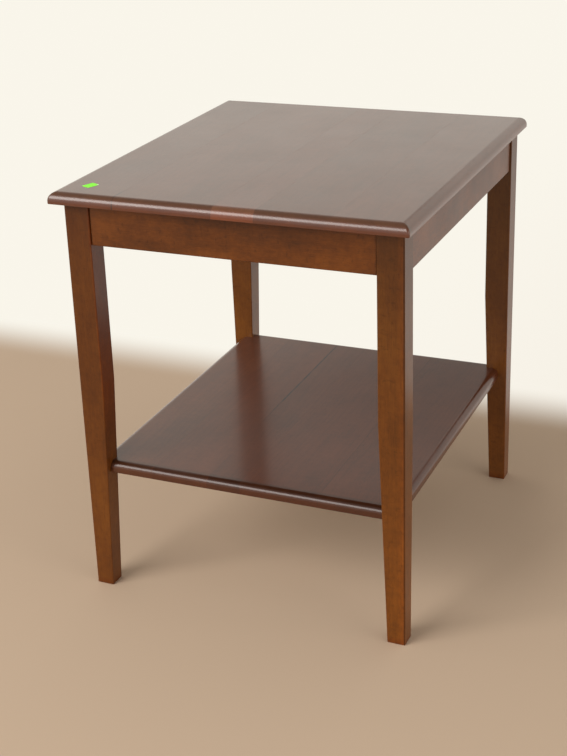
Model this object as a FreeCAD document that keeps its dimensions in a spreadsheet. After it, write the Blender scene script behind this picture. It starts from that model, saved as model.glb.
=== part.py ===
"""End table with a shelf: tapered legs, aprons, a board top and a board shelf.

Millimetres, +Z up. The origin lies on the floor under the middle of the top.
The front is towards -Y, and the boards of the top and the shelf run front to back.
Every sub-part is drawn from its own corner, towards +X, +Y and +Z, and is placed by expressions.
The front left pieces are drawn once and mirrored to the other corners.
"""
import FreeCAD, Part
import math
import os

import Sketcher

# ---------------------------------------------------------------- driving dimensions

SIZES = (
    ("table_height", 610.0, "floor to the upper face of the top"),
    ("top_width", 508.0, "top, left to right"),
    ("top_depth", 574.0, "top, front to back"),
    ("top_thick", 16.0, "thickness of the top"),
    ("top_round", 12.0, "round-over along the four upper edges of the top"),
    ("top_corner", 3.0, "rounding of the four corners of the top, up along the mitres"),
    ("side_overhang", 13.0, "top past the legs at each side"),
    ("front_overhang", 21.5, "top past the front legs"),
    ("back_overhang", 5.5, "top past the back legs"),
    ("top_board_a", 99.0, "first top board from the left"),
    ("top_board_b", 143.5, "second top board"),
    ("top_board_c", 60.0, "third top board"),
    ("top_board_d", 104.0, "fourth top board, the fifth takes the rest"),
    ("leg_wide", 37.0, "leg, left to right, above the taper"),
    ("leg_deep", 34.0, "leg, front to back, above the taper"),
    ("foot_wide", 26.0, "leg, left to right, at the floor"),
    ("foot_deep", 26.0, "leg, front to back, at the floor"),
    ("taper_start", 325.0, "height where the taper begins"),
    ("leg_ease", 1.5, "rounding of the long edges of a leg"),
    ("foot_ease", 1.0, "rounding round the sole of a foot"),
    ("apron_height", 61.0, "apron, top to bottom"),
    ("apron_thick", 18.0, "apron thickness"),
    ("apron_setback", 2.5, "apron behind the outer faces of the legs"),
    ("apron_ease", 1.5, "rounding of an apron's lower edges and the ends of its outer face"),
    ("shelf_level", 201.0, "floor to the upper face of the shelf"),
    ("shelf_thick", 16.0, "thickness of the shelf"),
    ("shelf_round", 10.0, "round-over of the shelf"),
    ("shelf_side_inset", 13.0, "shelf inside the outer faces of the legs, at each side"),
    ("shelf_end_inset", 9.5, "shelf inside the outer faces of the legs, front and back"),
    ("shelf_gap", 0.2, "clearance of the shelf round a leg"),
    ("shelf_board_a", 86.0, "first shelf board from the left"),
    ("shelf_board_b", 87.0, "second shelf board"),
    ("shelf_board_c", 51.0, "third shelf board"),
    ("shelf_board_d", 116.0, "fourth shelf board, the fifth takes the rest"),
    ("panel_ease", 1.0, "rounding of the lower edges of top and shelf"),
    ("dowel_diameter", 8.0, "all dowels"),
    ("dowel_chamfer", 1.0, "bevel at the ends of a dowel"),
    ("hole_play", 0.1, "hole wider than what it holds, all round"),
    ("hole_spare", 1.0, "hole deeper than what it holds"),
    ("dowel_in_leg", 18.0, "apron dowel inside the leg"),
    ("dowel_in_apron", 18.0, "apron dowel inside the apron"),
    ("dowel_margin", 11.0, "outermost dowels from the upper and lower edges of the apron"),
    ("dowel_stagger", 12.0, "side apron dowels above those of the front apron"),
    ("shelf_dowel_in_leg", 16.0, "shelf dowel inside the leg"),
    ("shelf_dowel_in_shelf", 20.0, "shelf dowel inside the shelf"),
    ("shelf_dowel_inset", 9.5, "shelf dowel from the end of the shelf"),
    ("block_leg_size", 60.0, "corner block along each apron"),
    ("block_tip", 8.0, "square-cut tip of a corner block"),
    ("block_height", 32.0, "corner block, top to bottom"),
    ("block_clearance", 1.0, "corner block round the leg"),
    ("block_ease", 1.0, "bevel along the front of a corner block"),
    ("block_screw_inset", 15.0, "apron screw from the end of the corner block"),
    ("block_screw_grip", 12.0, "block wood under the head of an apron screw"),
    ("top_screw_offset", 25.0, "top screw from each apron, in a corner block"),
    ("top_screw_grip", 14.0, "block wood under the head of a top screw"),
    ("screw_diameter", 4.0, "shank of all screws"),
    ("screw_head_diameter", 8.0, "head of all screws"),
    ("screw_head_height", 2.6, "head of all screws"),
    ("screw_crown_diameter", 4.8, "flat crown of all screw heads"),
    ("screw_rim_height", 1.3, "straight part of all screw heads"),
    ("drive_depth", 1.3, "cross recess of all screws"),
    ("drive_length", 4.0, "arms of the cross recess, end to end"),
    ("drive_width", 1.0, "arms of the cross recess, side to side"),
    ("screw_point", 5.0, "length of a screw's point"),
    ("counterbore_play", 0.5, "counterbore wider than the head, all round"),
    ("block_screw_length", 26.0, "apron screws of the corner blocks, under the head"),
    ("top_skin", 3.0, "wood left above the holes of the top screws"),
    ("clip_screw_length", 12.0, "clip screws, under the head"),
    ("clip_wide", 22.0, "clip, along the apron"),
    ("clip_metal", 1.6, "clip, sheet thickness"),
    ("clip_reach", 21.0, "clip, from the apron to its free end"),
    ("clip_tongue", 8.0, "clip, inside the slot"),
    ("clip_drop", 11.0, "under the top to the ceiling of the slot"),
    ("clip_stand", 1.0, "web of the clip off the apron"),
    ("clip_screw_offset", 13.0, "clip screw from the apron"),
    ("clip_spacing", 240.0, "between the two clips of a side apron"),
    ("slot_wide", 32.0, "slot, along the apron"),
    ("slot_height", 3.2, "slot, top to bottom"),
    ("slot_deep", 9.0, "slot, into the apron"),
    ("label_long", 19.0, "sticker, long side"),
    ("label_wide", 14.5, "sticker, short side"),
    ("label_thick", 0.2, "sticker thickness"),
    ("label_round", 2.0, "sticker corners"),
    ("label_from_left", 41.5, "middle of the sticker from the left edge of the top"),
    ("label_from_front", 48.0, "middle of the sticker from the front edge of the top"),
    ("label_turn", 67.0, "degrees between the sticker's long side and +X"),
)

START = 1              # the start point of a line or an arc in a sketch
END = 2                # its end point
CENTRE = 3             # the centre of a circle
X_AXIS = -1            # the sketch's own axes
Y_AXIS = -2
ORIGIN = (X_AXIS, START)
TINY = 1e-6


def size(name):
    """Expression for one named cell of the sheet."""
    return "Sizes." + name


# Places that several pieces share, as expressions on the sheet.
HALF_WIDTH = "(Sizes.top_width / 2 - Sizes.side_overhang)"
BASE_DEPTH = "(Sizes.top_depth - Sizes.front_overhang - Sizes.back_overhang)"
FRONT_Y = "(-Sizes.top_depth / 2 + Sizes.front_overhang)"
MIDDLE_Y = "((Sizes.front_overhang - Sizes.back_overhang) / 2)"
LEG_HEIGHT = "(Sizes.table_height - Sizes.top_thick)"
APRON_BOTTOM = f"({LEG_HEIGHT} - Sizes.apron_height)"
APRON_INSIDE = "(Sizes.apron_setback + Sizes.apron_thick)"
APRON_MIDDLE = "(Sizes.apron_setback + Sizes.apron_thick / 2)"
FRONT_APRON_LENGTH = f"(2 * {HALF_WIDTH} - 2 * Sizes.leg_wide)"
SIDE_APRON_LENGTH = f"({BASE_DEPTH} - 2 * Sizes.leg_deep)"
SHELF_BOTTOM = "(Sizes.shelf_level - Sizes.shelf_thick)"
SHELF_WIDTH = f"(2 * {HALF_WIDTH} - 2 * Sizes.shelf_side_inset)"
SHELF_DEPTH = f"({BASE_DEPTH} - 2 * Sizes.shelf_end_inset)"
TAPER_SHARE = "min(1; Sizes.shelf_level / Sizes.taper_start)"
LEG_WIDE_AT_SHELF = f"(Sizes.foot_wide + (Sizes.leg_wide - Sizes.foot_wide) * {TAPER_SHARE})"
LEG_DEEP_AT_SHELF = f"(Sizes.foot_deep + (Sizes.leg_deep - Sizes.foot_deep) * {TAPER_SHARE})"
NOTCH_WIDE = f"({LEG_WIDE_AT_SHELF} - Sizes.shelf_side_inset + Sizes.shelf_gap)"
NOTCH_DEEP = f"({LEG_DEEP_AT_SHELF} - Sizes.shelf_end_inset + Sizes.shelf_gap)"
DOWEL_RADIUS = "(Sizes.dowel_diameter / 2)"
DOWEL_HOLE = f"({DOWEL_RADIUS} + Sizes.hole_play)"
SCREW_RADIUS = "(Sizes.screw_diameter / 2)"
SCREW_HOLE = f"({SCREW_RADIUS} + Sizes.hole_play)"
COUNTERBORE = "(Sizes.screw_head_diameter / 2 + Sizes.counterbore_play)"
BLOCK_SCREW_AT = "(Sizes.block_leg_size - Sizes.block_screw_inset)"
LOW_DOWELS = ("Sizes.dowel_margin", "(Sizes.apron_height - Sizes.dowel_margin - Sizes.dowel_stagger)")
HIGH_DOWELS = tuple(f"({z} + Sizes.dowel_stagger)" for z in LOW_DOWELS)
TOP_SCREW_LENGTH = "(Sizes.top_screw_grip + Sizes.top_thick - Sizes.top_skin - Sizes.hole_spare)"

doc = FreeCAD.newDocument("EndTable")
nodes = []


# ---------------------------------------------------------------- helpers

def make_sheet():
    """The spreadsheet that holds every driving dimension."""
    sheet = doc.addObject("Spreadsheet::Sheet", "Sizes")
    for row, (name, value, note) in enumerate(SIZES, start=1):
        sheet.set(f"A{row}", note)
        sheet.set(f"B{row}", str(value))
        sheet.setAlias(f"B{row}", name)
    doc.recompute()
    return sheet


def value_of(expression):
    """The number that an expression on the sheet has now."""
    result = sheet.evalExpression(expression)
    return float(getattr(result, "Value", result))


def keep(piece):
    """Mark an object as a sub-part that is written to its own file."""
    nodes.append(piece)
    return piece


def place(piece, x="0", y="0", z="0"):
    """Bind the position of a piece to the sheet."""
    for axis, expression in zip("xyz", (x, y, z)):
        piece.setExpression(f"Placement.Base.{axis}", expression)


def make_body(name):
    body = doc.addObject("PartDesign::Body", name)
    body.Label = name
    return body


def sketch_on(body, role, name, offset="0"):
    """A sketch on one of the body's own origin planes, moved along the plane's normal."""
    sketch = body.newObject("Sketcher::SketchObject", name)
    plane = next(f for f in body.Origin.OriginFeatures if f.Role == role)
    sketch.AttachmentSupport = [(plane, "")]
    sketch.MapMode = "FlatFace"
    sketch.setExpression("AttachmentOffset.Base.z", offset)
    return sketch


def pin_coordinate(sketch, kind, point, expression):
    """Tie one coordinate of a sketch point to an expression, whatever its sign."""
    number = value_of(expression)
    if abs(number) < TINY:
        axis = Y_AXIS if kind == "DistanceX" else X_AXIS
        sketch.addConstraint(Sketcher.Constraint("PointOnObject", point[0], point[1], axis))
        return
    if number > 0:
        index = sketch.addConstraint(Sketcher.Constraint(kind, *ORIGIN, *point, number))
        sketch.setExpression(f"Constraints[{index}]", expression)
    else:
        index = sketch.addConstraint(Sketcher.Constraint(kind, *point, *ORIGIN, -number))
        sketch.setExpression(f"Constraints[{index}]", f"-({expression})")


def draw_polygon(sketch, points):
    """A closed outline whose corners are pairs of expressions."""
    corners = [FreeCAD.Vector(value_of(x), value_of(y), 0) for x, y in points]
    count = len(corners)
    for i in range(count):
        sketch.addGeometry(Part.LineSegment(corners[i], corners[(i + 1) % count]))
    for i in range(count):
        sketch.addConstraint(Sketcher.Constraint("Coincident", i, END, (i + 1) % count, START))
    for i, (x, y) in enumerate(points):
        pin_coordinate(sketch, "DistanceX", (i, START), x)
        pin_coordinate(sketch, "DistanceY", (i, START), y)


def draw_rounded_rectangle(sketch, wide, deep, radius):
    """A rectangle from the sketch origin to (wide, deep) with rounded corners."""
    w, d, r = value_of(wide), value_of(deep), value_of(radius)
    ends = (((r, 0), (w - r, 0)), ((w, r), (w, d - r)), ((w - r, d), (r, d)), ((0, d - r), (0, r)))
    centres = ((w - r, r), (w - r, d - r), (r, d - r), (r, r))
    quarter = math.pi / 2
    for side, (start, end) in enumerate(ends):
        sketch.addGeometry(Part.LineSegment(FreeCAD.Vector(*start, 0), FreeCAD.Vector(*end, 0)))
        circle = Part.Circle(FreeCAD.Vector(*centres[side], 0), FreeCAD.Vector(0, 0, 1), r)
        first = (side - 1) * quarter
        sketch.addGeometry(Part.ArcOfCircle(circle, first, first + quarter))
    for side in range(4):
        line, arc, following = 2 * side, 2 * side + 1, (2 * side + 2) % 8
        sketch.addConstraint(Sketcher.Constraint("Tangent", line, END, arc, START))
        sketch.addConstraint(Sketcher.Constraint("Tangent", arc, END, following, START))
        sketch.addConstraint(Sketcher.Constraint(("Horizontal", "Vertical")[side % 2], line))
    for arc in (3, 5, 7):
        sketch.addConstraint(Sketcher.Constraint("Equal", 1, arc))
    index = sketch.addConstraint(Sketcher.Constraint("Radius", 1, r))
    sketch.setExpression(f"Constraints[{index}]", radius)
    pin_coordinate(sketch, "DistanceY", (0, START), "0")
    pin_coordinate(sketch, "DistanceX", (6, START), "0")
    pin_coordinate(sketch, "DistanceX", (2, START), wide)
    pin_coordinate(sketch, "DistanceY", (4, START), deep)


def draw_circles(sketch, centres, radius):
    """Equal circles, each centred on a pair of expressions."""
    for i, (x, y) in enumerate(centres):
        centre = FreeCAD.Vector(value_of(x), value_of(y), 0)
        sketch.addGeometry(Part.Circle(centre, FreeCAD.Vector(0, 0, 1), value_of(radius)))
        pin_coordinate(sketch, "DistanceX", (i, CENTRE), x)
        pin_coordinate(sketch, "DistanceY", (i, CENTRE), y)
        index = sketch.addConstraint(Sketcher.Constraint("Radius", i, value_of(radius)))
        sketch.setExpression(f"Constraints[{index}]", radius)


def pad(body, sketch, length):
    feature = body.newObject("PartDesign::Pad", sketch.Name + "Pad")
    feature.Profile = sketch
    feature.setExpression("Length", length)
    doc.recompute()
    return feature


def pocket(body, sketch, length, along_normal):
    """Cut a sketch into the body, along the sketch's normal or against it."""
    before = body.Shape.Volume
    feature = body.newObject("PartDesign::Pocket", sketch.Name + "Pocket")
    feature.Profile = sketch
    feature.Reversed = along_normal
    feature.setExpression("Length", length)
    doc.recompute()
    if body.Shape.Volume >= before - TINY:
        raise RuntimeError(f"{sketch.Name} cuts nothing")
    return feature


def round_edges(body, wanted, radius, kind="PartDesign::Fillet", setting="Radius"):
    """Fillet or chamfer those edges of the body's tip for which wanted(edge) is true."""
    base = body.Tip
    names = [f"Edge{i}" for i, edge in enumerate(base.Shape.Edges, start=1) if wanted(edge)]
    feature = body.newObject(kind, body.Name + setting + str(len(body.Group)))
    feature.Base = (base, names)
    feature.setExpression(setting, radius)
    doc.recompute()
    return feature


def near(a, b):
    return abs(a - b) < 0.01


def lies_at(edge, axis, level):
    """True if the whole edge has this coordinate."""
    box = edge.BoundBox
    low, high = {"x": (box.XMin, box.XMax), "y": (box.YMin, box.YMax), "z": (box.ZMin, box.ZMax)}[axis]
    return near(low, level) and near(high, level)


def revolved_body(name, outline):
    """A turned piece about its own Z axis, from (radius, height) pairs of expressions."""
    body = make_body(name)
    sketch = sketch_on(body, "XZ_Plane", name + "Profile")
    draw_polygon(sketch, outline)
    turned = body.newObject("PartDesign::Revolution", name + "Turned")
    turned.Profile = sketch
    turned.ReferenceAxis = (sketch, ["V_Axis"])
    turned.Angle = 360.0
    doc.recompute()
    return body


def mirrored(source, name, across):
    """The same piece on the other side: across X or across the middle of the legs."""
    mirror = doc.addObject("Part::Mirroring", name)
    mirror.Label = name
    mirror.Source = source
    mirror.Normal = FreeCAD.Vector(1, 0, 0) if across == "x" else FreeCAD.Vector(0, 1, 0)
    mirror.setExpression("Base.y", MIDDLE_Y)
    return mirror


def gathered(name, pieces):
    """One sub-part made of separate, equal solids."""
    group = doc.addObject("Part::Compound", name)
    group.Label = name
    group.Links = pieces
    return keep(group)


def at_four_corners(name, pieces):
    """The front left pieces and their mirror images at the other three corners, as one sub-part."""
    everywhere = list(pieces)
    for piece in pieces:
        right = mirrored(piece, piece.Name + "_right", "x")
        everywhere += [right, mirrored(piece, piece.Name + "_back", "y"),
                       mirrored(right, right.Name + "_back", "y")]
    return gathered(name, everywhere)


def mirrored_set(source, stem):
    """A front left sub-part and its three mirror images, each a sub-part of its own."""
    right = mirrored(source, stem + "_front_right", "x")
    keep(source)
    keep(right)
    keep(mirrored(source, stem + "_back_left", "y"))
    keep(mirrored(right, stem + "_back_right", "y"))


# ---------------------------------------------------------------- legs

def make_legs():
    """Straight outer faces, inner faces tapered below taper_start, holes for the dowels."""
    leg = make_body("leg_front_left")
    knee = sketch_on(leg, "XY_Plane", "LegKnee", size("taper_start"))
    draw_rounded_rectangle(knee, size("leg_wide"), size("leg_deep"), size("leg_ease"))
    pad(leg, knee, f"{LEG_HEIGHT} - Sizes.taper_start")

    foot = sketch_on(leg, "XY_Plane", "LegFoot")
    draw_rounded_rectangle(foot, size("foot_wide"), size("foot_deep"), size("leg_ease"))
    section = sketch_on(leg, "XY_Plane", "LegSection", size("taper_start"))
    draw_rounded_rectangle(section, size("leg_wide"), size("leg_deep"), size("leg_ease"))
    taper = leg.newObject("PartDesign::AdditiveLoft", "LegTaper")
    taper.Profile = foot
    taper.Sections = [section]
    taper.Ruled = True
    doc.recompute()
    round_edges(leg, lambda edge: lies_at(edge, "z", 0), size("foot_ease"))

    across = sketch_on(leg, "YZ_Plane", "LegFrontApronHoles", size("leg_wide"))
    draw_circles(across, [(APRON_MIDDLE, f"({APRON_BOTTOM} + {z})") for z in LOW_DOWELS], DOWEL_HOLE)
    pocket(leg, across, "Sizes.dowel_in_leg + Sizes.hole_spare", along_normal=False)

    along = sketch_on(leg, "XZ_Plane", "LegSideApronHoles", "-Sizes.leg_deep")
    draw_circles(along, [(APRON_MIDDLE, f"({APRON_BOTTOM} + {z})") for z in HIGH_DOWELS], DOWEL_HOLE)
    pocket(leg, along, "Sizes.dowel_in_leg + Sizes.hole_spare", along_normal=True)

    shelf = sketch_on(leg, "YZ_Plane", "LegShelfHole", size("leg_wide"))
    dowel_y = "(Sizes.shelf_end_inset + Sizes.shelf_dowel_inset)"
    draw_circles(shelf, [(dowel_y, f"({SHELF_BOTTOM} + Sizes.shelf_thick / 2)")], DOWEL_HOLE)
    pocket(leg, shelf, f"Sizes.leg_wide - {LEG_WIDE_AT_SHELF} + Sizes.shelf_dowel_in_leg"
           " + Sizes.hole_spare", along_normal=False)

    place(leg, "-" + HALF_WIDTH, FRONT_Y)
    mirrored_set(leg, "leg")


# ---------------------------------------------------------------- aprons

def apron_blank(name, long_side, dowel_heights, runs_along_x):
    """A board with dowel holes in both ends, eased below and at the ends of its outer face."""
    apron = make_body(name)
    outline = sketch_on(apron, "XY_Plane", name + "Outline")
    thick = size("apron_thick")
    far_x, far_y = (long_side, thick) if runs_along_x else (thick, long_side)
    draw_polygon(outline, [("0", "0"), (far_x, "0"), (far_x, far_y), ("0", far_y)])
    pad(apron, outline, size("apron_height"))
    length, height = value_of(long_side), value_of(size("apron_height"))
    outer_face = "y" if runs_along_x else "x"

    def wanted(edge):
        lower = lies_at(edge, "z", 0) and near(edge.Length, length)
        end = lies_at(edge, outer_face, 0) and near(edge.Length, height)
        return lower or end

    round_edges(apron, wanted, size("apron_ease"))
    centres = [("(Sizes.apron_thick / 2)", z) for z in dowel_heights]
    deep = "Sizes.dowel_in_apron + Sizes.hole_spare"
    role = "YZ_Plane" if runs_along_x else "XZ_Plane"
    near_end = sketch_on(apron, role, name + "NearHoles")
    draw_circles(near_end, centres, DOWEL_HOLE)
    pocket(apron, near_end, deep, along_normal=runs_along_x)
    far_end = sketch_on(apron, role, name + "FarHoles", long_side if runs_along_x else "-" + long_side)
    draw_circles(far_end, centres, DOWEL_HOLE)
    pocket(apron, far_end, deep, along_normal=not runs_along_x)
    return apron


def drill_for_blocks(apron, long_side, past_leg, runs_along_x):
    """Pilot holes in the inner face for the screws of the two corner blocks."""
    role, face = ("XZ_Plane", "-Sizes.apron_thick") if runs_along_x else ("YZ_Plane", "Sizes.apron_thick")
    holes = sketch_on(apron, role, apron.Name + "BlockHoles", face)
    near_hole = f"({APRON_INSIDE} + {BLOCK_SCREW_AT} - {past_leg})"
    height = "(Sizes.apron_height - Sizes.block_height / 2)"
    draw_circles(holes, [(near_hole, height), (f"({long_side} - {near_hole})", height)], SCREW_HOLE)
    pocket(apron, holes, "Sizes.block_screw_length - Sizes.block_screw_grip + Sizes.hole_spare",
           along_normal=runs_along_x)


def cut_clip_slots(apron):
    """Two slots in the inner face of a side apron for the tongues of the clips."""
    ceiling = "(Sizes.apron_height - Sizes.clip_drop)"
    floor = f"({ceiling} - Sizes.slot_height)"
    for number, side in enumerate(("-", "+"), start=1):
        middle = f"({SIDE_APRON_LENGTH} / 2 {side} Sizes.clip_spacing / 2)"
        low, high = f"({middle} - Sizes.slot_wide / 2)", f"({middle} + Sizes.slot_wide / 2)"
        slot = sketch_on(apron, "YZ_Plane", f"ClipSlot{number}", size("apron_thick"))
        draw_polygon(slot, [(low, floor), (high, floor), (high, ceiling), (low, ceiling)])
        pocket(apron, slot, size("slot_deep"), along_normal=False)


def make_aprons():
    front = apron_blank("apron_front", FRONT_APRON_LENGTH, LOW_DOWELS, runs_along_x=True)
    drill_for_blocks(front, FRONT_APRON_LENGTH, size("leg_wide"), runs_along_x=True)
    place(front, f"-{HALF_WIDTH} + Sizes.leg_wide", f"{FRONT_Y} + Sizes.apron_setback", APRON_BOTTOM)
    keep(front)
    keep(mirrored(front, "apron_back", "y"))

    left = apron_blank("apron_left", SIDE_APRON_LENGTH, HIGH_DOWELS, runs_along_x=False)
    drill_for_blocks(left, SIDE_APRON_LENGTH, size("leg_deep"), runs_along_x=False)
    cut_clip_slots(left)
    place(left, f"-{HALF_WIDTH} + Sizes.apron_setback", f"{FRONT_Y} + Sizes.leg_deep", APRON_BOTTOM)
    keep(left)
    keep(mirrored(left, "apron_right", "x"))


# ---------------------------------------------------------------- dowels

def make_dowel(name, first_half, second_half):
    """A dowel along Z, its joint plane at height 0."""
    low, high, bevel = f"(-{first_half})", second_half, "Sizes.dowel_chamfer"
    neck = f"({DOWEL_RADIUS} - {bevel})"
    return revolved_body(name, [("0", low), (neck, low), (DOWEL_RADIUS, f"({low} + {bevel})"),
                                (DOWEL_RADIUS, f"({high} - {bevel})"), (neck, high), ("0", high)])


def lay_along(piece, direction):
    """Turn a piece that was drawn along +Z so that it points along a direction."""
    piece.Placement.Rotation = FreeCAD.Rotation(FreeCAD.Vector(0, 0, 1), FreeCAD.Vector(*direction))


def make_apron_dowels():
    front, left = [], []
    for number, height in enumerate(LOW_DOWELS, start=1):
        dowel = make_dowel(f"front_dowel_{number}", size("dowel_in_leg"), size("dowel_in_apron"))
        lay_along(dowel, (1, 0, 0))
        place(dowel, f"-{HALF_WIDTH} + Sizes.leg_wide", f"{FRONT_Y} + {APRON_MIDDLE}",
              f"{APRON_BOTTOM} + {height}")
        front.append(dowel)
    for number, height in enumerate(HIGH_DOWELS, start=1):
        dowel = make_dowel(f"side_dowel_{number}", size("dowel_in_leg"), size("dowel_in_apron"))
        lay_along(dowel, (0, 1, 0))
        place(dowel, f"-{HALF_WIDTH} + {APRON_MIDDLE}", f"{FRONT_Y} + Sizes.leg_deep",
              f"{APRON_BOTTOM} + {height}")
        left.append(dowel)
    front += [mirrored(dowel, dowel.Name + "_right", "x") for dowel in front]
    left += [mirrored(dowel, dowel.Name + "_back", "y") for dowel in left]
    gathered("apron_dowels_front", front)
    gathered("apron_dowels_left", left)
    gathered("apron_dowels_back", [mirrored(dowel, dowel.Name + "_rear", "y") for dowel in front])
    gathered("apron_dowels_right", [mirrored(dowel, dowel.Name + "_east", "x") for dowel in left])


def make_shelf_dowels():
    dowel = make_dowel("shelf_dowel", size("shelf_dowel_in_leg"), size("shelf_dowel_in_shelf"))
    lay_along(dowel, (1, 0, 0))
    place(dowel, f"-{HALF_WIDTH} + {LEG_WIDE_AT_SHELF}",
          f"{FRONT_Y} + Sizes.shelf_end_inset + Sizes.shelf_dowel_inset",
          f"{SHELF_BOTTOM} + Sizes.shelf_thick / 2")
    at_four_corners("shelf_dowels", [dowel])


# ---------------------------------------------------------------- top and shelf

def split_into_boards(panel, stem, origin, widths, total, depth, thick, bottom):
    """Cut a finished panel along its glue lines: one sub-part for each board."""
    edges = ["0"]
    for width in widths:
        edges.append(f"({edges[-1]} + {width})")
    edges.append(total)
    for number in range(1, len(edges)):
        left, right = edges[number - 1], edges[number]
        blank = doc.addObject("Part::Box", f"{stem}Blank{number}")
        blank.setExpression("Length", f"{right} - {left}")
        blank.setExpression("Width", depth)
        blank.setExpression("Height", thick)
        place(blank, f"{origin[0]} + {left}", origin[1], bottom)
        board = doc.addObject("Part::Common", f"{stem}_board_{number}")
        board.Label = board.Name
        board.Base = panel
        board.Tool = blank
        keep(board)


def make_top():
    """The top: a round-over that meets in softened mitres at the corners, pilot holes underneath."""
    panel = make_body("top_panel")
    outline = sketch_on(panel, "XY_Plane", "TopOutline")
    wide, deep, thick = size("top_width"), size("top_depth"), size("top_thick")
    draw_polygon(outline, [("0", "0"), (wide, "0"), (wide, deep), ("0", deep)])
    pad(panel, outline, thick)
    upper, upright = value_of(thick), value_of(f"{thick} - Sizes.top_round")
    round_edges(panel, lambda edge: lies_at(edge, "z", upper), size("top_round"))
    round_edges(panel, lambda edge: near(edge.Length, upright), size("top_corner"))
    round_edges(panel, lambda edge: lies_at(edge, "z", 0), size("panel_ease"))

    block_x = f"(Sizes.side_overhang + {APRON_INSIDE} + Sizes.top_screw_offset)"
    block_front = f"(Sizes.front_overhang + {APRON_INSIDE} + Sizes.top_screw_offset)"
    block_back = f"({deep} - Sizes.back_overhang - {APRON_INSIDE} - Sizes.top_screw_offset)"
    corners = sketch_on(panel, "XY_Plane", "TopBlockHoles")
    draw_circles(corners, [(x, y) for x in (block_x, f"({wide} - {block_x})")
                           for y in (block_front, block_back)], SCREW_HOLE)
    pocket(panel, corners, "Sizes.top_thick - Sizes.top_skin", along_normal=True)

    clip_x = f"(Sizes.side_overhang + {APRON_INSIDE} + Sizes.clip_screw_offset)"
    clip_middle = f"(Sizes.front_overhang + {BASE_DEPTH} / 2)"
    clips = sketch_on(panel, "XY_Plane", "TopClipHoles")
    draw_circles(clips, [(x, f"({clip_middle} {side} Sizes.clip_spacing / 2)")
                         for x in (clip_x, f"({wide} - {clip_x})") for side in "-+"], SCREW_HOLE)
    pocket(panel, clips, "Sizes.clip_screw_length - Sizes.clip_metal + Sizes.hole_spare",
           along_normal=True)

    place(panel, "-Sizes.top_width / 2", "-Sizes.top_depth / 2", LEG_HEIGHT)
    widths = [size("top_board_" + letter) for letter in "abcd"]
    split_into_boards(panel, "top", ("-Sizes.top_width / 2", "-Sizes.top_depth / 2"), widths,
                      wide, deep, thick, LEG_HEIGHT)


def make_shelf():
    """The shelf: notched round the legs, rounded on its four outer edges."""
    panel = make_body("shelf_panel")
    outline = sketch_on(panel, "XY_Plane", "ShelfOutline")
    left, front = NOTCH_WIDE, NOTCH_DEEP
    right, back = f"({SHELF_WIDTH} - {NOTCH_WIDE})", f"({SHELF_DEPTH} - {NOTCH_DEEP})"
    draw_polygon(outline, [(left, "0"), (right, "0"), (right, front), (SHELF_WIDTH, front),
                           (SHELF_WIDTH, back), (right, back), (right, SHELF_DEPTH),
                           (left, SHELF_DEPTH), (left, back), ("0", back), ("0", front), (left, front)])
    pad(panel, outline, size("shelf_thick"))
    upper, wide, deep = value_of(size("shelf_thick")), value_of(SHELF_WIDTH), value_of(SHELF_DEPTH)

    def on_the_outside(edge):
        return (lies_at(edge, "x", 0) or lies_at(edge, "x", wide)
                or lies_at(edge, "y", 0) or lies_at(edge, "y", deep))

    round_edges(panel, lambda edge: lies_at(edge, "z", upper) and on_the_outside(edge),
                size("shelf_round"))
    round_edges(panel, lambda edge: lies_at(edge, "z", 0) and on_the_outside(edge), size("panel_ease"))

    rows = ("Sizes.shelf_dowel_inset", f"({SHELF_DEPTH} - Sizes.shelf_dowel_inset)")
    centres = [(y, "(Sizes.shelf_thick / 2)") for y in rows]
    deep_enough = f"{NOTCH_WIDE} + Sizes.shelf_dowel_in_shelf + Sizes.hole_spare"
    for name, offset, inwards in (("Left", "0", True), ("Right", SHELF_WIDTH, False)):
        holes = sketch_on(panel, "YZ_Plane", f"Shelf{name}Holes", offset)
        draw_circles(holes, centres, DOWEL_HOLE)
        pocket(panel, holes, deep_enough, along_normal=inwards)

    corner = (f"-{HALF_WIDTH} + Sizes.shelf_side_inset", f"{FRONT_Y} + Sizes.shelf_end_inset")
    place(panel, *corner, SHELF_BOTTOM)
    widths = [size("shelf_board_" + letter) for letter in "abcd"]
    split_into_boards(panel, "shelf", corner, widths, SHELF_WIDTH, SHELF_DEPTH,
                      size("shelf_thick"), SHELF_BOTTOM)


# ---------------------------------------------------------------- corner blocks and hardware

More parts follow.
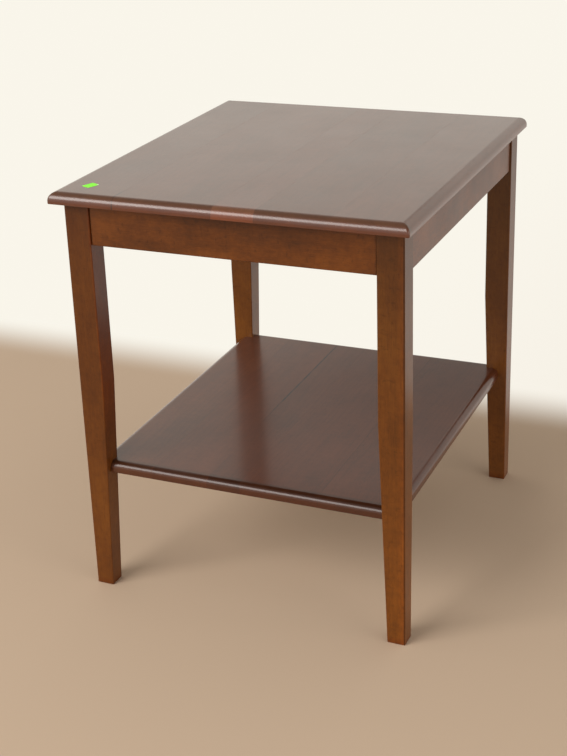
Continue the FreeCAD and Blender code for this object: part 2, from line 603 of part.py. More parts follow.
def make_corner_blocks():
    """Blocks across the corners behind the legs, drilled for three screws each."""
    block = make_body("corner_block_front_left")
    reach, tip = size("block_leg_size"), size("block_tip")
    past_leg_x = f"(max(0; Sizes.leg_wide - {APRON_INSIDE}) + Sizes.block_clearance)"
    past_leg_y = f"(max(0; Sizes.leg_deep - {APRON_INSIDE}) + Sizes.block_clearance)"
    outline = sketch_on(block, "XY_Plane", "BlockOutline")
    draw_polygon(outline, [(past_leg_x, "0"), (reach, "0"), (reach, tip), (tip, reach), ("0", reach),
                           ("0", past_leg_y), (past_leg_x, past_leg_y)])
    pad(block, outline, size("block_height"))
    far, near_end = value_of(reach), value_of(tip)
    slope = math.hypot(far - near_end, far - near_end)
    round_edges(block, lambda edge: near(edge.Length, slope), size("block_ease"),
                "PartDesign::Chamfer", "Size")

    middle = "(Sizes.block_height / 2)"
    for name, role, offset, inwards in (("BlockFront", "XZ_Plane", "-" + reach, True),
                                        ("BlockSide", "YZ_Plane", reach, False)):
        shank = sketch_on(block, role, name + "Shank", offset)
        draw_circles(shank, [(BLOCK_SCREW_AT, middle)], SCREW_HOLE)
        pocket(block, shank, reach, along_normal=inwards)
        head = sketch_on(block, role, name + "Head", offset)
        draw_circles(head, [(BLOCK_SCREW_AT, middle)], COUNTERBORE)
        pocket(block, head, f"{reach} - Sizes.block_screw_grip", along_normal=inwards)

    upright = [(size("top_screw_offset"), size("top_screw_offset"))]
    shank = sketch_on(block, "XY_Plane", "BlockTopShank")
    draw_circles(shank, upright, SCREW_HOLE)
    pocket(block, shank, size("block_height"), along_normal=True)
    head = sketch_on(block, "XY_Plane", "BlockTopHead")
    draw_circles(head, upright, COUNTERBORE)
    pocket(block, head, "Sizes.block_height - Sizes.top_screw_grip", along_normal=True)

    place(block, f"-{HALF_WIDTH} + {APRON_INSIDE}", f"{FRONT_Y} + {APRON_INSIDE}",
          f"{LEG_HEIGHT} - Sizes.block_height")
    mirrored_set(block, "corner_block")


def make_screw(name, length):
    """A pan-head wood screw along +Z, the underside of its head at height 0."""
    crown, head = "(Sizes.screw_crown_diameter / 2)", "(Sizes.screw_head_diameter / 2)"
    top, rim = "(-Sizes.screw_head_height)", "(-Sizes.screw_rim_height)"
    screw = revolved_body(name, [("0", top), (crown, top), (head, rim), (head, "0"), (SCREW_RADIUS, "0"),
                                 (SCREW_RADIUS, f"({length} - Sizes.screw_point)"), ("0", length)])
    cross = sketch_on(screw, "XY_Plane", name + "Cross", top)
    arm, half = "(Sizes.drive_length / 2)", "(Sizes.drive_width / 2)"
    left, low = f"(-{arm})", f"(-{half})"
    draw_polygon(cross, [(low, left), (half, left), (half, low), (arm, low), (arm, half), (half, half),
                         (half, arm), (low, arm), (low, half), (left, half), (left, low), (low, low)])
    pocket(screw, cross, size("drive_depth"), along_normal=True)
    return screw


def make_block_screws():
    middle_z = f"{LEG_HEIGHT} - Sizes.block_height / 2"
    bearing = f"({APRON_INSIDE} + Sizes.block_screw_grip)"
    along = f"({APRON_INSIDE} + {BLOCK_SCREW_AT})"
    front = make_screw("block_screw_front", size("block_screw_length"))
    lay_along(front, (0, -1, 0))
    place(front, f"-{HALF_WIDTH} + {along}", f"{FRONT_Y} + {bearing}", middle_z)
    side = make_screw("block_screw_side", size("block_screw_length"))
    lay_along(side, (-1, 0, 0))
    place(side, f"-{HALF_WIDTH} + {bearing}", f"{FRONT_Y} + {along}", middle_z)
    at_four_corners("corner_block_screws", [front, side])


def make_top_screws():
    offset = f"({APRON_INSIDE} + Sizes.top_screw_offset)"
    screw = make_screw("top_screw", TOP_SCREW_LENGTH)
    place(screw, f"-{HALF_WIDTH} + {offset}", f"{FRONT_Y} + {offset}",
          f"{LEG_HEIGHT} - Sizes.top_screw_grip")
    at_four_corners("top_screws", [screw])


def make_clips():
    """Z-shaped clips: the tongue sits in the apron's slot, the flange under the top."""
    clip = make_body("clip_left_front")
    metal, reach = size("clip_metal"), size("clip_reach")
    profile = sketch_on(clip, "XZ_Plane", "ClipProfile")
    outside = "(Sizes.clip_stand + Sizes.clip_metal)"
    tongue_low = f"(-Sizes.clip_drop - {metal})"
    tongue_end = "(-Sizes.clip_tongue)"
    draw_polygon(profile, [(tongue_end, tongue_low), (outside, tongue_low), (outside, f"(-{metal})"),
                           (reach, f"(-{metal})"), (reach, "0"), (size("clip_stand"), "0"),
                           (size("clip_stand"), "(-Sizes.clip_drop)"), (tongue_end, "(-Sizes.clip_drop)")])
    pad(clip, profile, size("clip_wide"))
    hole = sketch_on(clip, "XY_Plane", "ClipHole")
    draw_circles(hole, [(size("clip_screw_offset"), "(-Sizes.clip_wide / 2)")], SCREW_HOLE)
    pocket(clip, hole, metal, along_normal=False)
    middle = f"({FRONT_Y} + {BASE_DEPTH} / 2 - Sizes.clip_spacing / 2)"
    inside_face = f"-{HALF_WIDTH} + {APRON_INSIDE}"
    place(clip, inside_face, f"{middle} + Sizes.clip_wide / 2", LEG_HEIGHT)
    at_four_corners("top_clips", [clip])

    screw = make_screw("clip_screw", size("clip_screw_length"))
    place(screw, f"{inside_face} + Sizes.clip_screw_offset", middle, f"{LEG_HEIGHT} - {metal}")
    at_four_corners("clip_screws", [screw])


def make_sticker():
    """A blank sticker lying on the top near its front left corner."""
    sticker = make_body("lot_sticker")
    outline = sketch_on(sticker, "XY_Plane", "StickerOutline")
    draw_rounded_rectangle(outline, size("label_long"), size("label_wide"), size("label_round"))
    pad(sticker, outline, size("label_thick"))
    turn, half_long, half_wide = "Sizes.label_turn * 1 deg", "Sizes.label_long / 2", "Sizes.label_wide / 2"
    sticker.setExpression("Placement.Rotation.Angle", turn)
    place(sticker, "-Sizes.top_width / 2 + Sizes.label_from_left"
          f" - {half_long} * cos({turn}) + {half_wide} * sin({turn})",
          "-Sizes.top_depth / 2 + Sizes.label_from_front"
          f" - {half_long} * sin({turn}) - {half_wide} * cos({turn})", size("table_height"))
    keep(sticker)


# ---------------------------------------------------------------- build, check and write

def check_document():
    """Stop if any object failed or any sub-part has no valid solid."""
    failed = [item.Name for item in doc.Objects if {"Invalid", "Error"} & set(item.State)]
    if failed:
        raise RuntimeError("failed objects: " + ", ".join(failed))
    for piece in nodes:
        shape = piece.Shape
        if shape.isNull() or not shape.isValid() or not shape.Solids:
            raise RuntimeError(f"{piece.Label} has no valid shape")


def write_parts():
    os.makedirs("parts", exist_ok=True)
    for piece in nodes:
        piece.Shape.exportStep(os.path.join("parts", piece.Label + ".step"))
        print(f"{piece.Label}: {len(piece.Shape.Solids)} solid(s), {piece.Shape.Volume:.1f} mm3")


sheet = make_sheet()
make_legs()
make_aprons()
make_apron_dowels()
make_top()
make_shelf()
make_shelf_dowels()
make_corner_blocks()
make_block_screws()
make_top_screws()
make_clips()
make_sticker()
doc.recompute()
check_document()
write_parts()
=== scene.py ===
"""End table with shelf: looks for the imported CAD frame. Metres, part frame: front towards -Y, up +Z."""

import math

import bpy
from mathutils import Matrix, Vector


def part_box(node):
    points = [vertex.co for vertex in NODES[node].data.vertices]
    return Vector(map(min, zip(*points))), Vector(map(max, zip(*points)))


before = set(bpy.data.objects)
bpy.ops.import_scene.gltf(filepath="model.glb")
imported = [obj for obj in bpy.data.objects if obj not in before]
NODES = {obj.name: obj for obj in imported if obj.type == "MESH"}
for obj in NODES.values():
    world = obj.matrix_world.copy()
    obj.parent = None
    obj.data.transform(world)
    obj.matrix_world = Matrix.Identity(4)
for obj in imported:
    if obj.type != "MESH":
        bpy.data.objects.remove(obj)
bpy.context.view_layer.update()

# The photograph's view. Focal length and centre are in pixels of the 567 x 756 frame, angles in radians.
PHOTO_WIDTH, PHOTO_HEIGHT = 567, 756
FOCAL_PX = 1455.31
CENTRE_PX = (248.34, 339.40)
CAMERA_AT = (0.77740, -1.87849, 1.14384)
AZIMUTH, ELEVATION, ROLL = 0.4366, 0.38344, -0.04429
SENSOR = 36.0
CLIP_START, CLIP_END = 0.05, 60.0

# Lamps: name, place, size, watts, colour
LAMPS = (
    ("key", (-2.25, -3.50, 3.00), (3.0, 2.1), 128.0, (1.0, 0.975, 0.94)),
    ("fill", (3.20, -0.70, 1.30), (2.4, 2.4), 18.0, (1.0, 0.95, 0.88)),
)
LAMPS_FACE = (0.0, 0.0, 0.42)

# The room's pale turns to the ceiling's grey over this band of height along a slightly tilted axis.
PALE = (0.95, 0.915, 0.825)
CEILING = (0.30, 0.29, 0.28)
CEILING_AXIS = (0.12, 0.0, 1.0)
CEILING_BAND = (0.38, 0.70)

# The pale is darker and warmer over this band of x, as painted shade of the wall beside the table, as far as
# this band of distance from FADE_CENTRE.
PALE_RIGHT = (0.88, 0.81, 0.73)
WARM_X = (-0.3, 1.2)
WARM_REACH = (3.5, 7.0)

# Shaded parts of the room: direction, stretch along Z, where the shade is full, where it ends, least light
SHADE_UNDER_TOP = ((-0.23, 0.88, 0.405), 4.5, 0.08, 0.29, 0.0)
SHADE_TO_RIGHT = ((0.42, 0.90, 0.04), 0.8, 0.08, 0.28, 0.82)

# The floor turns pale over FADE_BAND of distance from FADE_CENTRE, and behind the table over WALL_BAND
# of y. From SHADE_REACH away it shows the shade to the right.
FLOOR_TONE = (0.67, 0.51, 0.375)
FLOOR_RADIUS, FLOOR_SIDES = 14.0, 96
FADE_CENTRE = (0.0, -1.4, 0.0)
FADE_BAND = (2.0, 3.1)
WALL_BAND = (0.46, 0.64)
SHADE_REACH = (1.5, 3.0)

X, Y, Z = 0, 1, 2
AXES = {"X": X, "Y": Y, "Z": Z}
WHITE = (1.0, 1.0, 1.0)


def linear(red, green, blue):
    """A colour given as it looks on screen, 0 to 255, as the linear values that shaders take."""
    parts = [c / 255 for c in (red, green, blue)]
    return tuple(c / 12.92 if c <= 0.04045 else ((c + 0.055) / 1.055) ** 2.4 for c in parts)


# ---------------------------------------------------------------- camera and lamps


def make_camera():
    """The photograph's camera. The shift puts its centre where the photograph's is."""
    back = Vector((
        math.sin(AZIMUTH) * math.cos(ELEVATION),
        -math.cos(AZIMUTH) * math.cos(ELEVATION),
        math.sin(ELEVATION),
    ))
    right = (-back).cross(Vector((0, 0, 1))).normalized()
    up = right.cross(-back)
    right_rolled = math.cos(ROLL) * right + math.sin(ROLL) * up
    up_rolled = math.cos(ROLL) * up - math.sin(ROLL) * right
    data = bpy.data.cameras.new("camera")
    data.sensor_width = SENSOR
    data.lens = FOCAL_PX * SENSOR / PHOTO_HEIGHT
    data.shift_x = (PHOTO_WIDTH / 2 - CENTRE_PX[0]) / PHOTO_HEIGHT
    data.shift_y = (CENTRE_PX[1] - PHOTO_HEIGHT / 2) / PHOTO_HEIGHT
    data.clip_start, data.clip_end = CLIP_START, CLIP_END
    camera = bpy.data.objects.new("camera", data)
    bpy.context.scene.collection.objects.link(camera)
    turn = Matrix((right_rolled, up_rolled, back)).transposed()
    camera.matrix_world = Matrix.Translation(CAMERA_AT) @ turn.to_4x4()
    bpy.context.scene.camera = camera


def make_lamp(name, place, size, watts, colour):
    """A soft rectangular lamp that faces the middle of the table."""
    data = bpy.data.lights.new(name, "AREA")
    data.shape = "RECTANGLE"
    data.size, data.size_y = size
    data.energy = watts
    data.color = colour
    lamp = bpy.data.objects.new(name, data)
    bpy.context.scene.collection.objects.link(lamp)
    aim = Vector(LAMPS_FACE) - Vector(place)
    lamp.rotation_euler = aim.to_track_quat("-Z", "Y").to_euler()
    lamp.location = place


# ---------------------------------------------------------------- node trees


class Tree:
    """The nodes of a new material or world, with short calls for the kinds used here.
    A value may be a number, a tuple or a socket."""

    def __init__(self, holder):
        holder.use_nodes = True
        self.holder = holder
        self.nodes = holder.node_tree.nodes
        self.links = holder.node_tree.links
        self.nodes.clear()
        coordinates = self.node("ShaderNodeTexCoord")
        self.place = coordinates.outputs["Object"]
        self.direction = coordinates.outputs["Generated"]

    def node(self, kind, **settings):
        made = self.nodes.new(kind)
        for key, value in settings.items():
            setattr(made, key, value)
        return made

    def put(self, socket, value):
        """Links a socket to the input, or sets a number or colour on it."""
        if isinstance(value, bpy.types.NodeSocket):
            self.links.new(value, socket)
        elif socket.type == "RGBA":
            socket.default_value = (*value[:3], 1)
        else:
            socket.default_value = value

    def math(self, operation, a, b=0.0, clamp=False):
        made = self.node("ShaderNodeMath", operation=operation, use_clamp=clamp)
        self.put(made.inputs[0], a)
        self.put(made.inputs[1], b)
        return made.outputs[0]

    def plus(self, a, b):
        return self.math("ADD", a, b)

    def minus(self, a, b):
        return self.math("SUBTRACT", a, b)

    def times(self, a, b):
        return self.math("MULTIPLY", a, b)

    def vector(self, operation, a, b=(0, 0, 0)):
        made = self.node("ShaderNodeVectorMath", operation=operation)
        self.put(made.inputs[0], a)
        self.put(made.inputs[1], b)
        single = operation in ("LENGTH", "DOT_PRODUCT", "DISTANCE")
        return made.outputs["Value" if single else "Vector"]

    def scaled(self, where, scale):
        return self.vector("MULTIPLY", where, scale)

    def axis(self, index):
        """The X, Y or Z of the place on the object."""
        made = self.node("ShaderNodeSeparateXYZ")
        self.put(made.inputs[0], self.place)
        return made.outputs[index]

    def noise(self, where, scale, detail=2.0, roughness=0.5, output="Fac"):
        made = self.node("ShaderNodeTexNoise")
        self.put(made.inputs["Vector"], where)
        made.inputs["Scale"].default_value = scale
        made.inputs["Detail"].default_value = detail
        made.inputs["Roughness"].default_value = roughness
        return made.outputs[output]

    def between(self, value, low, high, to_low=0.0, to_high=1.0, smooth=True):
        """value carried from low..high to to_low..to_high, and held at the ends."""
        made = self.node("ShaderNodeMapRange", interpolation_type="SMOOTHSTEP" if smooth else "LINEAR")
        self.put(made.inputs["Value"], value)
        for name, number in (("From Min", low), ("From Max", high), ("To Min", to_low), ("To Max", to_high)):
            made.inputs[name].default_value = number
        return made.outputs["Result"]

    def mix(self, share, a, b, blend="MIX"):
        """Colour a blended towards colour b by share. Inputs 6 and 7 are the node's two colours."""
        made = self.node("ShaderNodeMix", data_type="RGBA", blend_type=blend)
        self.put(made.inputs[0], share)
        self.put(made.inputs[6], a)
        self.put(made.inputs[7], b)
        return made.outputs[2]

    def tinted(self, colour, tint):
        return self.mix(1.0, colour, tint, "MULTIPLY")

    def grey(self, value):
        """A number as a colour."""
        made = self.node("ShaderNodeCombineColor")
        for socket in made.inputs:
            self.put(socket, value)
        return made.outputs[0]

    def ramp(self, value, *stops):
        """A colour ramp through stops, each a position and a colour."""
        made = self.node("ShaderNodeValToRGB")
        elements = made.color_ramp.elements
        while len(elements) < len(stops):
            elements.new(0.5)
        for element, (position, colour) in zip(elements, stops):
            element.position = position
            element.color = (*colour, 1)
        self.put(made.inputs[0], value)
        return made.outputs["Color"]

    def bump(self, height, strength, distance):
        made = self.node("ShaderNodeBump")
        made.inputs["Strength"].default_value = strength
        made.inputs["Distance"].default_value = distance
        self.put(made.inputs["Height"], height)
        return made.outputs["Normal"]

    def surface(self, **values):
        """The Principled shader that ends the material. A key stands for the input of that name."""
        shader = self.node("ShaderNodeBsdfPrincipled")
        for key, value in values.items():
            name = key.replace("_", " ").title().replace("Ior", "IOR")
            self.put(shader.inputs[name], value)
        return self.end(shader)

    def end(self, shader, kind="ShaderNodeOutputMaterial"):
        """Links the shader to a new output node, and gives the finished material or world."""
        output = self.node(kind)
        self.links.new(shader.outputs[0], output.inputs["Surface"])
        return self.holder


# ---------------------------------------------------------------- room and floor


def dim_patch(tree, direction, centre, stretch, start, end, least):
    """1 far from a direction and least near it, for the parts of the room that lie in shade."""
    away = tree.vector("SUBTRACT", direction, centre)
    size = tree.vector("LENGTH", tree.scaled(away, (1.0, 1.0, stretch)))
    return tree.between(size, start, end, least, 1.0)


def make_world():
    """Pale low down and dimmer overhead, like a room. Two dim patches stand for the parts of the
    wall behind the table that lie in its shadow. The shelf and the right edge reflect them."""
    world = bpy.data.worlds.new("room")
    bpy.context.scene.world = world
    tree = Tree(world)
    rise = tree.vector("DOT_PRODUCT", tree.direction, CEILING_AXIS)
    under_top = dim_patch(tree, tree.direction, *SHADE_UNDER_TOP)
    to_right = dim_patch(tree, tree.direction, *SHADE_TO_RIGHT)
    background = tree.node("ShaderNodeBackground")
    tree.put(background.inputs["Color"], tree.mix(tree.between(rise, *CEILING_BAND), PALE, CEILING))
    tree.put(background.inputs["Strength"], tree.times(under_top, to_right))
    tree.end(background, "ShaderNodeOutputWorld")


def backdrop_glow(tree, away):
    """The backdrop's pale, with painted shade that makes it darker and warmer to the right, and dim where
    the world is dim there.
    """
    glow = tree.node("ShaderNodeEmission")
    warm = tree.times(tree.between(tree.axis(X), *WARM_X), tree.between(away, *WARM_REACH, 1.0, 0.0))
    tree.put(glow.inputs["Color"], tree.mix(warm, PALE, PALE_RIGHT))
    light = dim_patch(tree, tree.vector("NORMALIZE", tree.place), *SHADE_TO_RIGHT)
    distant = tree.between(tree.vector("LENGTH", tree.place), *SHADE_REACH)
    shade = tree.times(distant, tree.minus(1.0, light))
    tree.put(glow.inputs["Strength"], tree.minus(1.0, shade))
    return glow


def looked_at(tree):
    """1 for what the camera sees, straight, mirrored or through glass, and 0 for other light."""
    path = tree.node("ShaderNodeLightPath")
    seen = tree.math("MAXIMUM", path.outputs["Is Camera Ray"], path.outputs["Is Glossy Ray"])
    return tree.math("MAXIMUM", seen, path.outputs["Is Transmission Ray"])


def floor_material():
    """Matt and plain near the table. It fades to the pale of the room all round, and sooner
    behind the table, where the photograph's wall stands."""
    tree = Tree(bpy.data.materials.new("floor"))
    matt = tree.node("ShaderNodeBsdfDiffuse")
    tree.put(matt.inputs["Color"], FLOOR_TONE)
    away = tree.vector("DISTANCE", tree.place, FADE_CENTRE)
    far = tree.math("MAXIMUM", tree.between(away, *FADE_BAND), tree.between(tree.axis(Y), *WALL_BAND))
    both = tree.node("ShaderNodeMixShader")
    tree.put(both.inputs[0], tree.times(far, looked_at(tree)))
    tree.links.new(matt.outputs[0], both.inputs[1])
    tree.links.new(backdrop_glow(tree, away).outputs[0], both.inputs[2])
    return tree.end(both)


def make_stage():
    """A round floor that keeps the table's shadow."""
    angles = [2 * math.pi * i / FLOOR_SIDES for i in range(FLOOR_SIDES)]
    ring = [(FLOOR_RADIUS * math.cos(angle), FLOOR_RADIUS * math.sin(angle), 0.0) for angle in angles]
    mesh = bpy.data.meshes.new("floor")
    mesh.from_pydata(ring, [], [list(range(FLOOR_SIDES))])
    mesh.materials.append(floor_material())
    floor = bpy.data.objects.new("floor", mesh)
    bpy.context.scene.collection.objects.link(floor)


# ---------------------------------------------------------------- wood

# The figures of the wood, each a noise: stretch along the grain, stretch across it, scale, detail, roughness
FIGURES = {
    "fibre": (0.035, 1.0, 620.0, 4.0, 0.65),
    "blotch": (0.45, 1.0, 17.0, 4.0, 0.60),
    "curl": (1.0, 0.3, 95.0, 3.0, 0.55),
    "mottle": (0.7, 1.0, 190.0, 3.0, 0.60),
    "fleck": (1.0, 0.4, 230.0, 2.0, 0.50),
    "pore": (0.05, 1.0, 1900.0, 1.0, 0.50),
}
PORE_BAND = (0.60, 0.70)
FLECK_BAND = (0.60, 0.74)
BLOTCH_GAIN = 1.6
RING_GAIN = 0.5
TONE_STOPS = (0.12, 0.48, 0.85)

RINGS_PER_METRE = 230.0
RING_SHARPNESS = 2.2
SWAY, SWAY_SCALE, SWAY_STRETCH = 0.035, 7.0, 0.22

END_GRAIN_BAND = (0.45, 0.95)
RELIEF_DEPTH = 0.0002

# Rubbed arrises: how round they count as, how uneven the rubbing is, and how much lighter and duller
ARRIS_RADIUS = 0.003
ARRIS_BAND = (0.01, 0.12)
RUB_NOISE, RUB_BAND = (70.0, 3.0, 0.6), (0.42, 0.68)
RUBBED_GAIN = 1.25
RUBBED_DULLER = 0.12

# Smears in the finish: the noise, and how much of the roughness it moves
SMEAR_NOISE, SMEAR = (11.0, 3.0, 0.55), 0.10

# A glue line is darkest within this share of its half width, and varies by this noise
JOINT_CORE = 0.35
JOINT_NOISE_SCALE, JOINT_NOISE_BAND, JOINT_LEAST = 45.0, (0.35, 0.6), 0.5

# Where the figures of a piece start, and how far they move for each seed
SEED_START, SEED_STEP = (0.0, 0.4, 0.8), (1.7, 2.3, 3.1)

# How strongly each thing shows, where a Look doesn't say. A drift is an axis, two places on it, and the
# tint up to the first and from the second on.
USUAL = {
    "rings": 0.25,
    "fibre": 0.35,
    "blotch": 0.7,
    "curl": 0.2,
    "mottle": 0.1,
    "flecks": 0.0,
    "pores": 0.35,
    "end_grain": 0.25,
    "wear": 0.35,
    "roughness": 0.30,
    "coat": 0.8,
    "coat_roughness": 0.20,
    "specular": 0.5,
    "relief": 0.12,
    "drifts": (),
}


class Look:
    """How one kind of wood looks: its tones, 0 to 255, and how strongly each figure shows."""

    def __init__(self, dark, middle, light, **strengths):
        self.dark, self.middle, self.light = linear(*dark), linear(*middle), linear(*light)
        for name, usual in USUAL.items():
            setattr(self, name, strengths.get(name, usual))


LEG_LOOK = Look(
    (74, 37, 8), (106, 56, 13), (130, 75, 20),
    blotch=0.55, curl=0.15, mottle=0.35, flecks=0.18, rings=0.05, fibre=0.3, pores=0.25,
    coat=0.0, specular=0.35,
)
APRON_LOOK = Look(
    (56, 27, 8), (94, 48, 12), (126, 69, 20),
    blotch=0.62, mottle=0.34, flecks=0.24, rings=0.05, fibre=0.3, pores=0.25,
    coat=0.0, specular=0.35,
)
TOP_LOOK = Look(
    (76, 36, 17), (96, 48, 24), (112, 59, 32),
    blotch=0.4, mottle=0.22, rings=0.16, fibre=0.36, end_grain=0.0,
    coat=0.6,
    # Drifts across the front edge, painted shade and painted reflection that follow its rounding: darker and
    # redder on its lowest part and greyer on its shoulder, with the top itself left as it is.
    drifts=(
        (Y, -0.2868, -0.2845, (0.88, 0.70, 0.52), WHITE),
        (Y, -0.2855, -0.2830, WHITE, (0.88, 1.22, 1.45)),
        (Y, -0.2790, -0.2750, WHITE, (1.136, 0.820, 0.690)),
    ),
)
SHELF_LOOK = Look(
    (68, 33, 18), (92, 46, 25), (110, 58, 33),
    blotch=0.45, mottle=0.22, rings=0.16, fibre=0.36, end_grain=0.0,
    coat=0.6, coat_roughness=0.15, specular=0.2,
    # Drifts across the front edge, painted shade and a painted reflection of the top's dark underside:
    # darker on its face and darkest on the upper part of its rounding, with the shelf's top left as it is.
    drifts=(
        (Y, -0.256, -0.247, (0.72, 0.80, 0.88), WHITE),
        (Y, -0.2555, -0.2515, WHITE, (0.50, 0.60, 0.68)),
        (Y, -0.247, -0.238, WHITE, (2.0, 1.667, 1.471)),
    ),
)
BLOCK_LOOK = Look(
    (140, 105, 68), (184, 146, 101), (205, 170, 124),
    rings=0.6, blotch=0.4, wear=0.1, relief=0.5,
    coat=0.0, roughness=0.7,
)
DOWEL_LOOK = Look(
    (170, 128, 82), (204, 168, 118), (222, 190, 142),
    rings=0.3, blotch=0.3, wear=0.0, relief=0.3,
    coat=0.0, roughness=0.65,
)


def along(grain, amount, across=1.0):
    """A scale vector with amount along the grain and across in the other two directions."""
    scale = [across] * 3
    scale[AXES[grain]] = amount
    return tuple(scale)


def figure(tree, kind, place, grain):
    """One figure of the wood, as a noise between 0 and 1."""
    lengthwise, across, scale, detail, roughness = FIGURES[kind]
    return tree.noise(tree.scaled(place, along(grain, lengthwise, across)), scale, detail, roughness)


def growth_rings(tree, place, grain, pith):
    """0 to 1 across each growth ring, round a line along the grain through pith that sways a little."""
    stretched = tree.scaled(place, along(grain, SWAY_STRETCH))
    sway = tree.vector("SUBTRACT", tree.noise(stretched, SWAY_SCALE, output="Color"), (0.5, 0.5, 0.5))
    sway = tree.scaled(sway, (SWAY, SWAY, SWAY))
    from_pith = tree.vector("ADD", tree.vector("SUBTRACT", tree.place, pith), sway)
    radius = tree.vector("LENGTH", tree.scaled(from_pith, along(grain, 0.0)))
    wave = tree.math("PINGPONG", tree.times(radius, RINGS_PER_METRE), 0.5)
    return tree.math("POWER", tree.times(wave, 2.0), RING_SHARPNESS)


def wood_tone(tree, look, figures, ring):
    """0 in dark wood and 1 in light wood."""
    strengths = (
        ("blotch", BLOTCH_GAIN * look.blotch),
        ("curl", look.curl),
        ("mottle", look.mottle),
        ("fibre", look.fibre),
    )
    tone = 0.5
    for kind, strength in strengths:
        tone = tree.plus(tone, tree.times(tree.minus(figures[kind], 0.5), strength))
    return tree.minus(tone, tree.times(ring, RING_GAIN * look.rings))


def stained(tree, look, tone, tint, drifts):
    """The stain at a tone, times the piece's tint and each drift."""
    colour = tree.ramp(tone, *zip(TONE_STOPS, (look.dark, look.middle, look.light)))
    colour = tree.tinted(colour, tint)
    for index, low, high, low_tint, high_tint in (*look.drifts, *drifts):
        share = tree.between(tree.axis(index), low, high, smooth=False)
        colour = tree.tinted(colour, tree.mix(share, low_tint, high_tint))
    return colour


def end_grain_shade(tree, grain, strength):
    """End grain drinks more stain."""
    normal = tree.node("ShaderNodeNewGeometry").outputs["True Normal"]
    facing = tree.vector("DOT_PRODUCT", normal, along(grain, 1.0, 0.0))
    end = tree.between(tree.math("ABSOLUTE", facing), *END_GRAIN_BAND)
    return tree.minus(1.0, tree.times(end, strength))


def end_shade(tree, axis, middle, reach, width, strength):
    """Painted shade in the corner at both ends of an apron, reach away from its middle."""
    away = tree.math("ABSOLUTE", tree.minus(tree.axis(axis), middle))
    return tree.between(away, reach - width, reach, 1.0, 1.0 - strength)


def joint_shade(tree, place, x, width, strength, y_from, y_to):
    """A thin dark glue line along Y at x. It fades out from y_from to y_to and varies on its way."""
    near = tree.math("ABSOLUTE", tree.minus(tree.axis(X), x))
    line = tree.between(near, JOINT_CORE * width, width, strength, 0.0)
    uneven = tree.noise(tree.scaled(place, (0.0, 1.0, 1.0)), JOINT_NOISE_SCALE)
    line = tree.times(line, tree.between(uneven, *JOINT_NOISE_BAND, JOINT_LEAST, 1.0))
    line = tree.times(line, tree.between(tree.axis(Y), y_from, y_to, 1.0, 0.0))
    return tree.minus(1.0, line)


def wood_shade(tree, look, place, grain, pore, fleck, joints, ends):
    """What pores, flecks, end grain, glue lines and the painted shade in apron corners leave of the colour.
    """
    shade = tree.minus(1.0, tree.times(pore, look.pores))
    shade = tree.minus(shade, fleck)
    shade = tree.times(shade, end_grain_shade(tree, grain, look.end_grain))
    for joint in joints:
        shade = tree.times(shade, joint_shade(tree, place, *joint))
    if ends:
        shade = tree.times(shade, end_shade(tree, AXES[grain], *ends))
    return shade


def worn_arris(tree, place):
    """1 where an arris is rubbed, unevenly, and 0 on the faces."""
    rounded = tree.node("ShaderNodeBevel", samples=4)
    rounded.inputs["Radius"].default_value = ARRIS_RADIUS
    flat = tree.node("ShaderNodeNewGeometry").outputs["Normal"]
    edge = tree.minus(1.0, tree.vector("DOT_PRODUCT", rounded.outputs[0], flat))
    rub = tree.noise(place, *RUB_NOISE)
    return tree.times(tree.between(edge, *ARRIS_BAND), tree.between(rub, *RUB_BAND))


def wood_roughness(tree, look, place, worn):
    """A little uneven, and duller where an arris is rubbed."""
    smear = tree.noise(place, *SMEAR_NOISE)
    rough = tree.plus(look.roughness - SMEAR / 2, tree.times(smear, SMEAR))
    return tree.math("ADD", rough, tree.times(worn, RUBBED_DULLER), clamp=True)


def wood(name, look, grain, seed, pith, tint=WHITE, joints=(), drifts=(), ends=None):
    """Stained and lacquered wood. Rings run round a line along the grain through pith, in metres.
    The seed moves the figures, so that no two pieces share them."""
    tree = Tree(bpy.data.materials.new(name))
    moved = tuple(step * seed + start for step, start in zip(SEED_STEP, SEED_START))
    place = tree.vector("ADD", tree.place, moved)
    figures = {kind: figure(tree, kind, place, grain) for kind in FIGURES}
    pore = tree.between(figures["pore"], *PORE_BAND)
    fleck = tree.between(figures["fleck"], *FLECK_BAND, 0.0, look.flecks)
    worn = worn_arris(tree, place)

    tone = wood_tone(tree, look, figures, growth_rings(tree, place, grain, pith))
    colour = stained(tree, look, tone, tint, drifts)
    shade = wood_shade(tree, look, place, grain, pore, fleck, joints, ends)
    colour = tree.tinted(colour, tree.grey(shade))
    rubbed = tuple(RUBBED_GAIN * c for c in look.light)
    colour = tree.mix(tree.times(worn, look.wear), colour, rubbed)

    height = tree.minus(tree.times(figures["fibre"], 0.5), pore)
    return tree.surface(
        base_color=colour,
        roughness=wood_roughness(tree, look, place, worn),
        normal=tree.bump(height, look.relief, RELIEF_DEPTH),
        coat_weight=look.coat,
        coat_roughness=look.coat_roughness,
        specular_ior_level=look.specular,
    )


# ---------------------------------------------------------------- wooden pieces

CORNERS = ("front_left", "front_right", "back_left", "back_right")
APRON_GRAINS = (("front", "X"), ("back", "X"), ("left", "Y"), ("right", "Y"))

# The first seed of each kind of piece
LEG_SEED, APRON_SEED, TOP_SEED, SHELF_SEED, BLOCK_SEED = 1, 7, 20, 40, 60
CROSS_DOWEL_SEED, LONG_DOWEL_SEED = 70, 74

